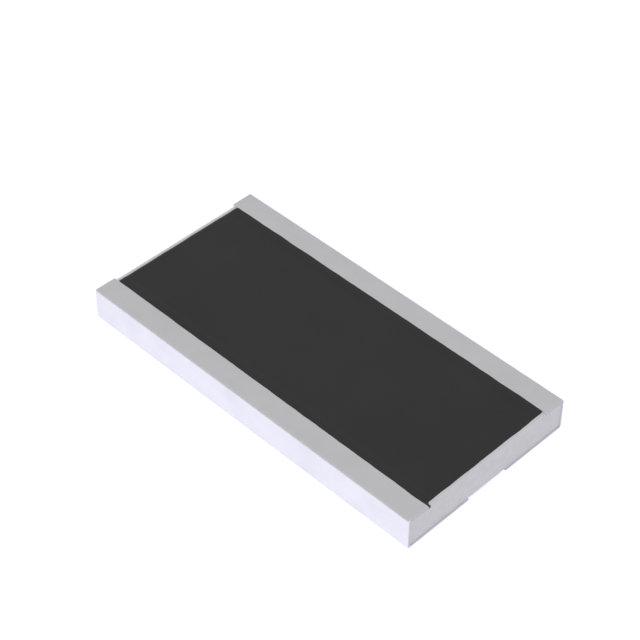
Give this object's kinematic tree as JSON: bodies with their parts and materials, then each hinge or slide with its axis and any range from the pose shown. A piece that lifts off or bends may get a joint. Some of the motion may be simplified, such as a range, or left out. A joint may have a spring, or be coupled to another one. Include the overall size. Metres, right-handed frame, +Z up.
{
  "type": "smd chip resistor",
  "caption": "Thin rectangular surface-mount chip resistor with a black coated top and matte tin terminals wrapped round both long sides.",
  "frame": {"origin": "centre of the underside, in the plane of the two solder pads", "axes": "+X along the long side and the terminals, +Y from the front terminal to the back one, +Z up through the black coat"},
  "size_m": [0.0064, 0.0032, 0.0006],
  "materials": {
    "alumina_ceramic": "matte",
    "silver_print": "matte",
    "resistive_film": "matte",
    "glass_coat": "gloss",
    "black_resin": "matte",
    "side_metal": "matte",
    "nickel_plating": "satin",
    "tin_plating": "matte"
  },
  "bodies": {
    "root": {"ceramic_substrate": "alumina_ceramic", "top_electrode_front": "silver_print", "top_electrode_back": "silver_print", "bottom_electrode_front": "silver_print", "bottom_electrode_back": "silver_print", "resistive_film": "resistive_film", "inner_glass_coat": "glass_coat", "protective_coat": "black_resin", "side_electrode_front": "side_metal", "side_electrode_back": "side_metal", "nickel_barrier_front": "nickel_plating", "nickel_barrier_back": "nickel_plating", "tin_plating_front": "tin_plating", "tin_plating_back": "tin_plating"}
  },
  "joints": []
}
